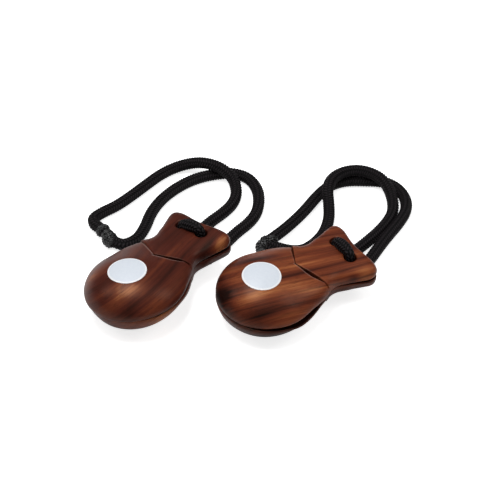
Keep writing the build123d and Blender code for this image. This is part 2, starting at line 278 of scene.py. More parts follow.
def outline(inset, step):
    """Planform, drawn inset by that much: points anticlockwise from the tip."""
    runs = [
        (bowl_center, BOWL_RADIUS, 0.0, bowl_to_flank, 1),
        (flank_center, FLANK_RADIUS, bowl_to_flank, flank_to_neck, 1),
        (neck_center, NECK_RADIUS, flank_to_neck + 180, side_normal + 180, -1),
        (ear_center, EAR_RADIUS, side_normal, notch_angle + 180, 1),
        (notch_center, notch_radius, notch_angle, 0.0, -1),
    ]
    half = []
    for number, (center, radius, start, end, sign) in enumerate(runs):
        radius -= sign * inset
        count = max(2, round(abs(math.radians(end - start)) * radius / step))
        arc = [polar(center, radius, start + (end - start) * n / count) for n in range(count + 1)]
        if number == 3:              # a straight side joins the neck's arc to the ear's
            before = half[-1]
            pieces = max(2, round(distance(before, arc[0]) / step))
            side = np.subtract(arc[0], before)
            half += [tuple(np.add(before, side * n / pieces)) for n in range(1, pieces)]
            half += arc
        else:
            half += arc if not half else arc[1:]
    return half + [(x, -y) for x, y in half[-2:0:-1]]


def half_width(x):
    """Half the planform's width at x, from the tip to the sides of the ears."""
    flank_front = polar(flank_center, FLANK_RADIUS, bowl_to_flank)[0]
    flank_back = polar(flank_center, FLANK_RADIUS, flank_to_neck)[0]
    bowl = np.sqrt(np.maximum(BOWL_RADIUS**2 - (x - bowl_center[0]) ** 2, 0))
    flank = flank_center[1] + np.sqrt(np.maximum(FLANK_RADIUS**2 - (x - flank_center[0]) ** 2, 0))
    neck = neck_center[1] - np.sqrt(np.maximum(NECK_RADIUS**2 - x**2, 0))
    slope = (side_back[1] - side_front[1]) / (side_back[0] - side_front[0])
    side = side_front[1] + slope * (x - side_front[0])
    return np.select([x > flank_front, x > flank_back, x > side_front[0]], [bowl, flank, neck], side)


def section(y, half, top, fullness):
    """Height of a domed section at y: a curve from the side of the shell to its crown."""
    share = np.clip(np.abs(y) / half, 0.0, 1.0)
    low, high = np.zeros_like(share), np.ones_like(share)
    for _ in range(40):
        t = (low + high) / 2
        across = (1 - t) ** 3 + 3 * (1 - t) ** 2 * t + 3 * (1 - t) * t**2 * fullness
        low, high = np.where(across > share, t, low), np.where(across > share, high, t)
    return top * (3 * (1 - t) ** 2 * t * fullness + 3 * (1 - t) * t**2 + t**3)


def bowl_height(x, y):
    front = np.clip((x - CROWN_REACH) / (BOWL_REACH + TIP_ALLOWANCE - CROWN_REACH), 0.0, 1.0)
    fall = (1 - np.cos(np.pi * np.clip((CROWN_REACH - x) / CROWN_REACH, 0.0, 1.0))) / 2
    top = np.where(x > CROWN_REACH, BOWL_HEIGHT * np.sqrt(1 - front**CROWN_POWER),
                   BOWL_HEIGHT - (BOWL_HEIGHT - BOWL_NECK_HEIGHT) * fall)
    change = smooth((x - FULLNESS_SPAN[0]) / (FULLNESS_SPAN[1] - FULLNESS_SPAN[0]))
    fullness = BOWL_FULLNESS[0] + (BOWL_FULLNESS[1] - BOWL_FULLNESS[0]) * change
    return section(y, half_width(x) + ALLOWANCE, top, fullness)


def block_height(x, y):
    share = np.clip((rounding_start - x) / EAR_ROUNDING, 0.0, 1.0)
    rise = (BLOCK_LIP - EAR_HEIGHT) / (CHEVRON_REACH - BLOCK_RISE_START) ** 2
    top = np.where(x < rounding_start, EAR_HEIGHT * np.sqrt(1 - share**2),
                   EAR_HEIGHT + rise * np.maximum(x - BLOCK_RISE_START, 0.0) ** 2)
    return section(y, half_width(x) + ALLOWANCE, top, BLOCK_FULLNESS)


# The kerf in front of the ear block: one saw cut along each arm, widest and deepest past
# mid-arm, run out to nothing near the flank.
ARM_END = (17.5, 14.1)               # distance from the long axis where it runs out at -Y and +Y
KERF_DEPTH = 2.0                     # times its width
KERF_WALL = 0.15                     # share of the width taken by the wall on the bowl's side
LIP = (0.9, 0.16)                    # reach and drop of the rounding along the kerf's front edge
STEP_GAP = 0.01                      # the two sides of a step stand this far either side
EAR_EDGE = 2.4                       # rounding of the ears' edge
ARM_REACH = 17.0                     # the easing and its rows of points go this far off the axis


def by_arm(y, seat, values):
    """The first value on the chevron's arm at -Y, the second on the arm at +Y."""
    return np.where(y < seat.chevron[1], values[0], values[1])


def chevron_offset(x, y, seat):
    """Distance in front of the chevron, square to its arm."""
    sweep = by_arm(y, seat, seat.chevron[2:])
    return (x - seat.chevron[0] + np.abs(y - seat.chevron[1]) * sweep) / np.hypot(1.0, sweep)


def kerf_width(y, seat):
    """Width of the kerf at this y."""
    point = seat.chevron[1]
    length = by_arm(y, seat, (ARM_END[0] + point, ARM_END[1] - point))
    along = np.clip(np.abs(y - point) / length, 0.0, 1.0)
    share = seat.opening + (1 - seat.opening) * smooth(along / 0.65)
    share = np.minimum(share, np.sqrt(1.0 - along) * 1.8)
    return by_arm(y, seat, seat.kerf) * np.clip(share, 0.06, 1.0)


def outer_height(x, y, inset, seat):
    """Height of the outside: bowl in front of the chevron, ear block behind it."""
    ahead = chevron_offset(x, y, seat)
    width = kerf_width(y, seat)
    cut = KERF_DEPTH * width * (1 - smooth((ahead / width - 1 + KERF_WALL) / KERF_WALL))
    lip = LIP[1] * np.minimum(width, 1.0) * (1 - np.clip((ahead - width) / LIP[0], 0.0, 1.0)) ** 2
    reach = by_arm(y, seat, seat.ease) * smooth((ARM_REACH - np.abs(y)) / 3.0) + 0.01
    ease = 0.5 * reach * (1 - np.clip(-ahead / reach, 0.0, 1.0)) ** 2
    height = np.where(ahead > 0, bowl_height(x, y) - cut - lip, block_height(x, y) - ease)

    # the ears are rounded over at their edge, and the holes at their mouths
    ear = smooth(-(x + 2.0) / 8.0)
    edge = EAR_EDGE * ear
    into = np.clip(edge - inset, 0.0, None)
    height = height - np.where(edge > 0, edge - np.sqrt(np.maximum(edge**2 - into**2, 0.0)), 0.0)
    for side in (-1, 1):
        r = np.hypot(x + HOLE_REACH, y - side * HOLE_SPACING / 2)
        into = np.clip(HOLE_RADIUS + HOLE_EASE - r, 0.0, HOLE_EASE)
        height = height - (HOLE_EASE - np.sqrt(HOLE_EASE**2 - into**2))
    return height


def inner_height(x, y, inset, seat, gape=0.0):
    """Height of the mating face: level seats, arched rim, hollow bowl and bevelled ears."""
    chord = (BOWL_REACH - TIP_CONTACT - NECK_CONTACT) / 2
    arch = (chord**2 + seat.relief**2) / (2 * seat.relief)
    off = np.clip(np.abs(x - NECK_CONTACT - chord), 0.0, chord)
    rim = seat.relief - arch + np.sqrt(arch**2 - off**2)
    lowered = np.exp(-(((x - GAPE_ALONG[0]) / GAPE_ALONG[1]) ** 4))
    rim = rim + gape * lowered * smooth((y - GAPE_ACROSS[0]) / GAPE_ACROSS[1])
    reach, radius, depth = CAVITY
    sphere = (radius**2 + depth**2) / (2 * depth)
    r = np.minimum(np.hypot(x - reach, y), radius)
    hollow = depth - sphere + np.sqrt(sphere**2 - r**2)
    ears = np.maximum(-x, 0.0) * math.tan(seat.bevel)
    into = np.clip(RIM_ROUNDING - inset, 0.0, RIM_ROUNDING)
    return np.maximum.reduce([rim, hollow, ears]) + RIM_ROUNDING - np.sqrt(RIM_ROUNDING**2 - into**2)


def ring(center, radius, step):
    count = round(2 * math.pi * radius / step)
    return [polar(center, radius, 360 * n / count) for n in range(count)]


def inside(points, polygon):
    """Which points lie inside a closed polygon."""
    ax, ay = polygon[:, 0], polygon[:, 1]
    bx, by = np.roll(ax, -1), np.roll(ay, -1)
    x, y = points[:, 0:1], points[:, 1:2]
    crossing = ((ay > y) != (by > y)) & (x < (bx - ax) * (y - ay) / (by - ay + 1e-12) + ax)
    return crossing.sum(axis=1) % 2 == 1


def inset_of(points, polygon):
    """Distance of each point from the polygon's nearest side."""
    a, b = polygon, np.roll(polygon, -1, axis=0)
    along = b - a
    rel = points[:, None, :] - a[None]
    share = np.clip((rel * along).sum(axis=2) / (along**2).sum(axis=1), 0.0, 1.0)
    return np.linalg.norm(rel - share[..., None] * along, axis=2).min(axis=1)


RIM_INSETS = (0.0, 0.08, 0.22, 0.45, 0.8, 1.3, 2.0, 3.0, 4.2)
OUTLINE_STEP = 0.8
GRID_STEP = 1.1
GRID_COLUMNS = range(-26, 60)        # steps from behind the ears to past the tip
GRID_ROW = 0.866                     # height of an equal-sided triangle, times the step


def shell_plan(seat):
    """Flat triangulation of the planform, with rows along every edge of the form."""
    points, edges = [], []

    def add_line(line, closed):
        first = len(points)
        points.extend(line)
        edges.extend((first + n, first + n + 1) for n in range(len(line) - 1))
        if closed:
            edges.append((len(points) - 1, first))

    border = np.array(outline(0.0, OUTLINE_STEP))
    for inset in RIM_INSETS:
        add_line(outline(inset, OUTLINE_STEP * (1 + inset / 8)), True)
    holes = [(-HOLE_REACH, side * HOLE_SPACING / 2) for side in (-1, 1)]
    for hole in holes:
        for radius in (0.0, 0.1, 0.3, 0.8):
            add_line(ring(hole, HOLE_RADIUS + radius, 0.6), True)
    add_line(ring((CAVITY[0], 0.0), CAVITY[1], 0.9), True)
    middle = seat.chevron[1]
    reach = np.concatenate([np.linspace(-ARM_REACH, middle, 33), np.linspace(middle, ARM_REACH, 37)[1:]])
    sweep = by_arm(reach, seat, seat.chevron[2:])
    width = kerf_width(reach, seat)
    rows = [np.full(reach.shape, -d) for d in (1.3, 1.0, 0.7, 0.45, 0.25, 0.1, STEP_GAP)]
    rows += [share * width for share in (0.0, 0.4, 0.85, 0.9, 0.95, 1.0)]
    rows += [width + beyond for beyond in (0.2, 0.45, 0.9)]
    for row in rows:
        row = np.where(np.abs(row) < STEP_GAP, STEP_GAP, row)
        along = seat.chevron[0] + row * np.hypot(1.0, sweep) - np.abs(reach - middle) * sweep
        add_line(list(zip(along.tolist(), reach.tolist())), False)

    # points in the open field, kept clear of the rows
    rows = int(2 * EAR_HALF / (GRID_STEP * GRID_ROW)) + 20
    grid = [((n + 0.5 * (m % 2)) * GRID_STEP, m * GRID_STEP * GRID_ROW)
            for m in range(-rows, rows) for n in GRID_COLUMNS]
    grid = np.array(grid)
    grid = grid[inside(grid, border)]
    keep = inset_of(grid, border) > RIM_INSETS[-1] + 0.6
    ahead = chevron_offset(grid[:, 0], grid[:, 1], seat)
    keep &= (ahead < -1.8) | (ahead > kerf_width(grid[:, 1], seat) + 1.4)
    for hole in holes:
        keep &= np.hypot(*(grid - hole).T) > HOLE_RADIUS + HOLE_EASE + 0.5
    keep &= np.abs(np.hypot(*(grid - (CAVITY[0], 0.0)).T) - CAVITY[1]) > 0.5
    points.extend(grid[keep].tolist())

    flat, _, triangles, *_ = delaunay_2d_cdt([Vector(p) for p in points], edges, [], 0, 1e-5)
    flat = np.array([tuple(v) for v in flat])
    triangles = np.array([t for t in triangles if len(t) == 3])
    middle = flat[triangles].mean(axis=1)
    keep = inside(middle, border)
    for hole in holes:
        keep &= np.hypot(*(middle - hole).T) > HOLE_RADIUS * 0.99
    triangles = triangles[keep]
    a, b, c = (flat[triangles[:, n]] for n in range(3))
    turn = (b[:, 0] - a[:, 0]) * (c[:, 1] - a[:, 1]) - (b[:, 1] - a[:, 1]) * (c[:, 0] - a[:, 0])
    triangles[turn < 0] = triangles[turn < 0][:, ::-1]
    used, where = np.unique(triangles, return_inverse=True)
    return flat[used], where.reshape(-1, 3), inset_of(flat[used], border)


# The wood's figure. The grain runs at this angle to the shell's long axis and turns a little in
# the ears. The growth layers lie tilted: GRAIN_TILT is their shift across for each millimetre up,
# and the scale of the figure across the grain, below 1 for wider bands.
# Patches are (x, y, reach along, reach across, tone): paler above 0, darker below. They are mostly painted
# light and shade, with some wood tone: pale patches are painted highlights under the labels, on the near ears
# and on the left lower shell's near band; dark patches are painted shade along and under the ears' edges and
# over the right pair's gap.
GRAIN_ANGLE = {"left": 3.0, "right": -12.0}
GRAIN_BEND = {"left": 0.0, "right": -0.08}
GRAIN_TILT = {"left": (-1.2, 0.7), "right": (-0.75, 1.0)}
LIGHT_AND_TONE_PATCHES = {
    ("left", "upper"): [(49.5, 5.5, 5, 3, 0.9), (46.0, 10.0, 5, 3, 0.9), (42.5, 14.0, 4, 3, 0.5),
                        (41.8, 23.0, 8, 4, 0.4), (53.0, 14.6, 6, 3, -0.4), (48.0, -16.0, 9, 5, 0.6),
                        (-15.2, 18.0, 6, 3, 1.35), (-10.0, 14.6, 8, 1.4, -0.9), (-2.0, 17.5, 5, 1.6, -1.0),
                        (24.0, 9.0, 10, 6, -0.3), (2.0, -2.0, 16, 10, -0.3)],
    ("left", "lower"): [(38.0, 22.0, 15, 10, 1.3), (53.0, 8.0, 8, 8, 0.4), (-8.0, 16.0, 18, 9, -0.3)],
    ("right", "upper"): [(44.7, 9.1, 8, 2.5, 1.0), (47.6, 17.7, 10, 3.5, -0.7), (-14.8, 17.6, 7, 2.8, 1.1),
                         (-8.9, 17.2, 3.2, 1.1, -1.2), (28.5, 11.5, 12, 3, 0.6), (18.0, 16.0, 8, 3, 0.4),
                         (57.0, -6.0, 5, 13, -1.5), (28.8, -12.0, 10, 3, -0.7)],
    ("right", "lower"): [(40.0, 16.0, 30, 14, -1.1), (-8.0, 16.0, 18, 9, -0.7)],
}


def figure(side, level, local):
    """Grain coordinates (along, across, up) and tone of each point of a shell; the tone is mostly painted
    light and shade.
    """
    x, y = local[:, 0], local[:, 1]
    angle = math.radians(GRAIN_ANGLE[side])
    bend = GRAIN_BEND[side] * np.minimum(x - 8.0, 0.0) * smooth((2.0 - y) / 8.0)
    tilt, closeness = GRAIN_TILT[side]
    across = closeness * (y * math.cos(angle) - x * math.sin(angle) - bend + tilt * local[:, 2])
    grain = np.column_stack([x * math.cos(angle) + y * math.sin(angle), across, local[:, 2]])
    tone = np.zeros(len(local))
    for cx, cy, along, across, amount in LIGHT_AND_TONE_PATCHES[side, level]:
        u = (x - cx) * math.cos(angle) + (y - cy) * math.sin(angle)
        v = (y - cy) * math.cos(angle) - (x - cx) * math.sin(angle)
        tone += amount * np.exp(-(u / along) ** 2 - (v / across) ** 2)
    return grain, tone


# The shells are shaped by hand and don't quite match: (reach, half length, inward shift) of
# each departure of the near flank, and how much longer the bowl is.
FLANK = {
    ("left", "upper"): [(14, 9, 1.1)],
    ("left", "lower"): [(9, 8, 1.1), (32, 13, 0.6), (50, 10, 0.5)],
    ("right", "upper"): [(19, 8, 1.2)],
    ("right", "lower"): [(13, 10, 1.3), (50, 12, -1.1)],
}
TIP = {("left", "upper"): 0.7, ("left", "lower"): -0.8, ("right", "upper"): 0.6, ("right", "lower"): 0.6}


def turned_shell(name, side, level, seat, plan, material):
    """One shell of a pair as a closed solid; the lower one is the upper one turned over."""
    flat, triangles, inset = plan
    x, y = flat[:, 0], flat[:, 1]
    inner = inner_height(x, y, inset, seat, seat.gape if level == "lower" else 0.0)
    outer = np.maximum(outer_height(x, y, inset, seat), inner + 0.05)
    count = len(flat)
    shift = sum(amount * np.exp(-(((x - reach) / span) ** 2))
                for reach, span, amount in FLANK[side, level])
    shifted = y - shift * smooth((y / half_width(x) - 0.2) / 0.8)
    longer = x + TIP[side, level] * smooth((x - 42.0) / 16.0)
    local = np.vstack([np.column_stack([longer, shifted, z]) for z in (outer, inner)])
    faces = triangles.tolist() + (triangles[:, ::-1] + count).tolist()
    sides = np.vstack([triangles[:, (0, 1)], triangles[:, (1, 2)], triangles[:, (2, 0)]])
    known = {(a, b) for a, b in sides.tolist()}
    walls = [(a, b) for a, b in known if (b, a) not in known]
    faces += [[b, a, a + count, b + count] for a, b in sorted(walls)]
    if level == "upper":
        local[:, 2] += RIM_CLEARANCE
    else:
        local[:, 2] *= -1
        faces = [face[::-1] for face in faces]
    piece = new_piece(name, seat.world(local), faces, material)

    # paler along the rim and along the kerf's front edge, painted highlights where these edges catch
    # light; the kerf and the border of the mating face are painted dark, painted shade in the slit and the
    # gap
    mesh = piece.data
    # rim: a painted highlight, paler colour on the outside next to the mating plane where the rim's edge
    # catches light
    rim = np.where(inset < 3.0, 1.0, 0.0) * (1 - smooth((outer - 0.8) / 2.5))
    rim = np.concatenate([rim, rim * 0])
    # border: the mating face painted dark from near its edge inwards, painted shade in the gap between the
    # shells
    border = 0.85 * smooth((inset - 0.2) / 0.6) * (1 - smooth((inset - 5.0) / 3.0))
    ahead, width = chevron_offset(x, y, seat), kerf_width(y, seat)
    # kerf: the slit painted near black, painted shade down in the saw cut
    kerf = np.where((ahead > 0) & (ahead < 0.96 * width), by_arm(y, seat, (0.6, 1.0)), 0.0)
    kerf = kerf * np.where(y > 0, smooth((ARM_END[1] + 0.6 - y) / 1.2), 1.0)
    # lip_highlight: a painted highlight, a pale line along the bowl's edge in front of the kerf where that
    # edge would catch light
    lip_highlight = by_arm(y, seat, seat.lip_highlight) * np.exp(-(((ahead - width - 0.25) / 0.25) ** 2))
    lip_highlight = lip_highlight * smooth((16.5 - np.abs(y)) / 6.0)
    kerf, lip_highlight = np.concatenate([kerf, border]), np.concatenate([lip_highlight, lip_highlight * 0])
    grain, tone = figure(side, level, local)
    for title, values in (("rim", rim), ("kerf", kerf), ("lip_highlight", lip_highlight), ("tone", tone)):
        store(mesh, title, values)
    mesh.attributes.new("grain", "FLOAT_VECTOR", "POINT").data.foreach_set("vector", (grain * MM).ravel())
    mesh.shade_smooth()
    mesh.set_sharp_from_angle(angle=CREASE)
    return piece


# ======================================================================================
# Braided cord: a geometry nodes tube along a path
# ======================================================================================
BRAID_STRANDS = 8                    # strands laid each way round the cord
BRAID_PICK = 1.5                     # length along the cord from one strand to the next
BRAID_RELIEF = 0.14                  # height of a strand as a share of the cord's radius
BRAID_SWELL = 1.075                  # girth of the strands from the ears to the knots, times CORD_RADIUS
RING_STEP = 0.3
TUBE_SIDES = 64


def braid_tree(material):
    """Tube along the incoming edges, its skin raised by two sets of strands that interlace."""
    tree = bpy.data.node_groups.new("braided cord", "GeometryNodeTree")
    tree.interface.new_socket("Geometry", in_out="INPUT", socket_type="NodeSocketGeometry")
    for title in ("Radius", "Strands", "Pick", "Relief", "Step"):
        tree.interface.new_socket(title, in_out="INPUT", socket_type="NodeSocketFloat")
    tree.interface.new_socket("Geometry", in_out="OUTPUT", socket_type="NodeSocketGeometry")
    given = add_node(tree, "NodeGroupInput").outputs
    math_node, stored = "ShaderNodeMath", "GeometryNodeStoreNamedAttribute"
    read = "GeometryNodeInputNamedAttribute"

    # a plain tube that remembers where on it each point lies
    rail = add_node(tree, "GeometryNodeMeshToCurve", {"Mesh": given["Geometry"]})
    rail = add_node(tree, "GeometryNodeResampleCurve", {"Curve": rail, "Length": given["Step"]},
                    mode="LENGTH")
    place = add_node(tree, "GeometryNodeInputPosition")
    spline = add_node(tree, "GeometryNodeSplineParameter").outputs
    rail = add_node(tree, stored, {"Geometry": rail, "Name": "along", "Value": spline["Length"]})
    rail = add_node(tree, stored, {"Geometry": rail, "Name": "middle", "Value": place},
                    data_type="FLOAT_VECTOR")
    profile = add_node(tree, "GeometryNodeCurvePrimitiveCircle",
                       {"Resolution": TUBE_SIDES, "Radius": given["Radius"]})
    profile = add_node(tree, stored, {"Geometry": profile, "Name": "around", "Value": spline["Factor"]})
    skin = add_node(tree, "GeometryNodeCurveToMesh",
                    {"Curve": rail, "Profile Curve": profile, "Fill Caps": True})

    # two coordinates that count the strands of each direction
    around = add_node(tree, read, {"Name": "around"})
    along = add_node(tree, read, {"Name": "along"})
    turn = add_node(tree, math_node, {0: around, 1: given["Strands"]}, operation="MULTIPLY")
    lay = add_node(tree, math_node, {0: along, 1: given["Pick"]}, operation="DIVIDE")
    right = add_node(tree, math_node, {0: turn, 1: lay}, operation="ADD")
    left = add_node(tree, math_node, {0: turn, 1: lay}, operation="SUBTRACT")

    # each strand is round across, and passes over two strands and under two
    heights = []
    for own, other, middle in ((right, left, 1.0), (left, right, 3.0)):
        number = add_node(tree, math_node, {0: own}, operation="FLOOR")
        off = add_node(tree, math_node, {0: own, 1: number}, operation="SUBTRACT")
        off = add_node(tree, math_node, {0: off, 1: 2.0, 2: -1.0}, operation="MULTIPLY_ADD")
        dip = add_node(tree, math_node, {0: off, 1: off}, operation="MULTIPLY")
        crown = add_node(tree, math_node, {0: 1.0, 1: dip}, operation="SUBTRACT")
        place_on = add_node(tree, math_node, {0: other, 1: number}, operation="ADD")
        place_on = add_node(tree, math_node, {0: place_on, 1: middle}, operation="SUBTRACT")
        wave = add_node(tree, math_node, {0: place_on, 1: math.pi / 2}, operation="MULTIPLY")
        wave = add_node(tree, math_node, {0: wave}, operation="COSINE")
        heights.append(add_node(tree, math_node, {0: crown, 1: wave}, operation="ADD"))
    height = add_node(tree, math_node, {0: heights[0], 1: heights[1]}, operation="MAXIMUM")
    for title, value in (("relief", height), ("lay_right", right), ("lay_left", left)):
        skin = add_node(tree, stored, {"Geometry": skin, "Name": title, "Value": value})

    # the skin moves out from the cord's middle by the relief and by the local girth
    relief = add_node(tree, read, {"Name": "relief"})
    girth = add_node(tree, read, {"Name": "girth"})
    middle = add_node(tree, read, {"Name": "middle"}, data_type="FLOAT_VECTOR")
    raised = add_node(tree, math_node, {0: relief, 1: 1.3}, operation="SUBTRACT")
    raised = add_node(tree, math_node, {0: raised, 1: given["Relief"], 2: 1.0}, operation="MULTIPLY_ADD")
    growth = add_node(tree, math_node, {0: raised, 1: girth, 2: -1.0}, operation="MULTIPLY_ADD")
    radial = add_node(tree, "ShaderNodeVectorMath", {0: place, 1: middle}, operation="SUBTRACT")
    offset = add_node(tree, "ShaderNodeVectorMath", {0: radial, "Scale": growth}, operation="SCALE")
    skin = add_node(tree, "GeometryNodeSetPosition", {"Geometry": skin, "Offset": offset})
    skin = add_node(tree, "GeometryNodeSetShadeSmooth", {0: skin, "Shade Smooth": True})
    skin = add_node(tree, "GeometryNodeRealizeInstances", {"Geometry": skin})
    skin = add_node(tree, "GeometryNodeSetMaterial", {"Geometry": skin, "Material": material})
    add_node(tree, "NodeGroupOutput", {"Geometry": skin})
    return tree


def spline_path(points, resolution=24):
    """Points along the smooth curve that has these control points (millimetres)."""
    curve = bpy.data.curves.new("route", "CURVE")
    curve.dimensions = "3D"
    curve.resolution_u = resolution
    spline = curve.splines.new("NURBS")
    spline.points.add(len(points) - 1)
    for point, place in zip(spline.points, points):
        point.co = (*(np.asarray(place) * MM), 1.0)
    spline.order_u = 3
    spline.use_endpoint_u = True
    holder = bpy.data.objects.new("route", curve)
    bpy.context.collection.objects.link(holder)
    depsgraph = bpy.context.evaluated_depsgraph_get()
    mesh = bpy.data.meshes.new_from_object(holder.evaluated_get(depsgraph))
    path = np.array([tuple(v.co) for v in mesh.vertices]) / MM
    bpy.data.objects.remove(holder)
    bpy.data.curves.remove(curve)
    bpy.data.meshes.remove(mesh)
    return path


def braided_tube(name, paths, radius, tree, girths=None, pick=BRAID_PICK, strands=BRAID_STRANDS,
                 relief=BRAID_RELIEF, step=RING_STEP):
    """Braided tubes of that radius along the paths; girths widen them point by point."""
    edges, first = [], 0
    for path in paths:
        edges += [(n, n + 1) for n in range(first, first + len(path) - 1)]
        first += len(path)
    rail = new_piece(name + "_rail", np.vstack(paths), [], None, edges)
    widths = np.ones(first) if girths is None else np.concatenate(girths)
    store(rail.data, "girth", widths)
    modifier = rail.modifiers.new("braid", "NODES")
    modifier.node_group = tree
    values = {"Radius": radius * MM, "Strands": float(strands), "Pick": pick * MM, "Relief": relief,
              "Step": step * MM}
    for item in tree.interface.items_tree:
        if item.in_out == "INPUT" and item.name in values:
            modifier[item.identifier] = values[item.name]
    depsgraph = bpy.context.evaluated_depsgraph_get()
    mesh = bpy.data.meshes.new_from_object(rail.evaluated_get(depsgraph))
    mesh.name = name
    bpy.data.objects.remove(rail)
    places = read_places(mesh)       # the soft cord is pressed flat where it touches the floor
    places[:, 2] = np.maximum(places[:, 2], 0.02 * MM)
    move_points(mesh, places)
    piece = bpy.data.objects.new(name, mesh)
    bpy.context.collection.objects.link(piece)
    return piece


def read_places(mesh):
    """The places of a mesh's points, in metres."""
    places = np.empty(len(mesh.vertices) * 3)
    mesh.vertices.foreach_get("co", places)
    return places.reshape(-1, 3)


def move_points(mesh, places):
    mesh.vertices.foreach_set("co", places.ravel())
    mesh.update()


# ======================================================================================
# Materials
# ======================================================================================
FIGURE_SPAN = 60.0                   # width of wood that a table of veins covers


def bare_material(name):
    """A new material without nodes, and its tree."""
    material = bpy.data.materials.new(name)
    material.use_nodes = True
    material.node_tree.nodes.clear()
    return material, material.node_tree


def set_stops(ramp, stops):
    """Give a colour ramp these stops: (position, linear colour)."""
    elements = ramp.color_ramp.elements
    while len(elements) < len(stops):
        elements.new(0.5)
    for element, (position, colour) in zip(elements, stops):
        element.position, element.color = position, colour


def oiled_rosewood(name, dark, body, light, contrast, veins, vein_strength):
    """Reddish dense hardwood, sanded fine and oiled to a satin gloss.

    Soft streaks run with the grain, near-black veins lie at given places across it, and
    short fine pores show close up. veins lists (place across the grain, strength).
    """
    material, tree = bare_material(name)
    math_node, mix = "ShaderNodeMath", "ShaderNodeMix"
    grain = add_node(tree, "ShaderNodeAttribute", attribute_name="grain").outputs["Vector"]

    # noise stretched along the grain: its stretch (along, across, up), shift, scale for each
    # metre, detail and roughness
    fields = []
    for stretch, shift, scale, detail, roughness in (
            ((0.10, 1.0, 0.1), (0.0, 0.0, 0.0), 110.0, 2.0, 0.5),     # growth rings
            ((0.03, 1.0, 0.1), (0.3, 0.1, 0.2), 620.0, 4.0, 0.6),     # streaks
            ((0.5, 1.0, 0.1), (0.0, 0.0, 0.0), 45.0, 1.0, 0.5),       # how the veins wander
            ((0.12, 1.0, 0.1), (0.6, 0.2, 0.4), 220.0, 2.0, 0.5),     # where the veins break
            ((0.045, 1.0, 0.35), (0.0, 0.0, 0.0), 2600.0, 2.0, 0.5)): # pores
        place = add_node(tree, "ShaderNodeMapping", {"Vector": grain, "Location": shift, "Scale": stretch})
        fields.append(add_node(tree, "ShaderNodeTexNoise", {"Vector": place, "Scale": scale,
                                                            "Detail": detail, "Roughness": roughness}))
    broad, streak, wander, broken, pore = fields

    # growth rings some 9 mm apart show as broad tone, streaks some 2 mm apart ride on them
    share = add_node(tree, math_node, {0: streak, 1: 0.4 * contrast, 2: 0.5 - 0.5 * contrast},
                     operation="MULTIPLY_ADD")
    share = add_node(tree, math_node, {0: broad, 1: 0.6 * contrast, 2: share}, operation="MULTIPLY_ADD")
    # the tone attribute moves the colour along the ramp: mostly painted highlights and painted shade, some
    # wood tone
    tone = add_node(tree, "ShaderNodeAttribute", attribute_name="tone").outputs["Fac"]
    share = add_node(tree, math_node, {0: tone, 1: 0.14, 2: share}, operation="MULTIPLY_ADD")
    colour = add_node(tree, "ShaderNodeValToRGB", {0: share})
    tones = ((0.32, "#1C0C09"), (0.42, dark), (0.5, body), (0.6, light), (0.72, "#B06E42"))
    set_stops(colour, [(position, srgb(code)) for position, code in tones])

    # the veins wander a millimetre or so and come and go along their length
    wander = add_node(tree, math_node, {0: wander, 1: 0.5}, operation="SUBTRACT")
    across = add_node(tree, "ShaderNodeSeparateXYZ", {0: grain}).outputs["Y"]
    across = add_node(tree, math_node, {0: wander, 1: 0.006, 2: across}, operation="MULTIPLY_ADD")
    half_span = FIGURE_SPAN * MM / 2
    across = add_node(tree, "ShaderNodeMapRange",
                      {"Value": across, "From Min": -half_span, "From Max": half_span})
    vein = add_node(tree, "ShaderNodeValToRGB", {0: across})
    stops = [(0.0, (0.0, 0.0, 0.0, 1.0))]
    for where, strength in veins:
        for off, grey in ((-0.9, 0.0), (0.0, strength), (1.1, 0.0)):
            stops.append(((where + off) / FIGURE_SPAN + 0.5, (grey, grey, grey, 1.0)))
    set_stops(vein, stops)
    broken = add_node(tree, "ShaderNodeMapRange",
                      {"Value": broken, "From Min": 0.3, "From Max": 0.6, "To Min": 0.25})
    vein = add_node(tree, math_node, {0: vein, 1: broken}, operation="MULTIPLY")
    vein = add_node(tree, math_node, {0: vein, 1: vein_strength}, operation="MULTIPLY")
    colour = add_node(tree, mix, {0: vein, 6: colour, 7: srgb("#1E0D0A")}, data_type="RGBA").outputs[2]

    # pores: fine dark dashes 0.15 mm wide
    pore = add_node(tree, math_node, {0: pore, 1: 0.56}, operation="SUBTRACT", use_clamp=True)
    pore = add_node(tree, math_node, {0: pore, 1: 3.0}, operation="MULTIPLY", use_clamp=True)
    colour = add_node(tree, mix, {0: pore, 6: colour, 7: srgb("#1E0F0B")}, data_type="RGBA").outputs[2]

    # painted highlights at the rim and along the kerf's front edge, and painted shade in the kerf and along
    # the border of the mating face
    for title, amount, code in (("rim", 0.2, "#86584A"), ("lip_highlight", 1.0, "#B09086"), ("kerf", 0.92, "#0C0503")):
        layer = add_node(tree, "ShaderNodeAttribute", attribute_name=title).outputs["Fac"]
        layer = add_node(tree, math_node, {0: layer, 1: amount}, operation="MULTIPLY")
        colour = add_node(tree, mix, {0: layer, 6: colour, 7: srgb(code)}, data_type="RGBA").outputs[2]

    rough = add_node(tree, math_node, {0: streak, 1: 0.16, 2: 0.26}, operation="MULTIPLY_ADD")
    depth = add_node(tree, math_node, {0: pore, 1: -0.4, 2: streak}, operation="MULTIPLY_ADD")
    bump = add_node(tree, "ShaderNodeBump", {"Height": depth, "Strength": 0.12, "Distance": 0.0002})
    shader = add_node(tree, "ShaderNodeBsdfPrincipled",
                      {"Base Color": colour, "Roughness": rough, "Normal": bump, "IOR": 1.45,
                       "Specular IOR Level": 0.22, "Specular Tint": srgb("#FFE3CE")})
    add_node(tree, "ShaderNodeOutputMaterial", {"Surface": shader})
    return material


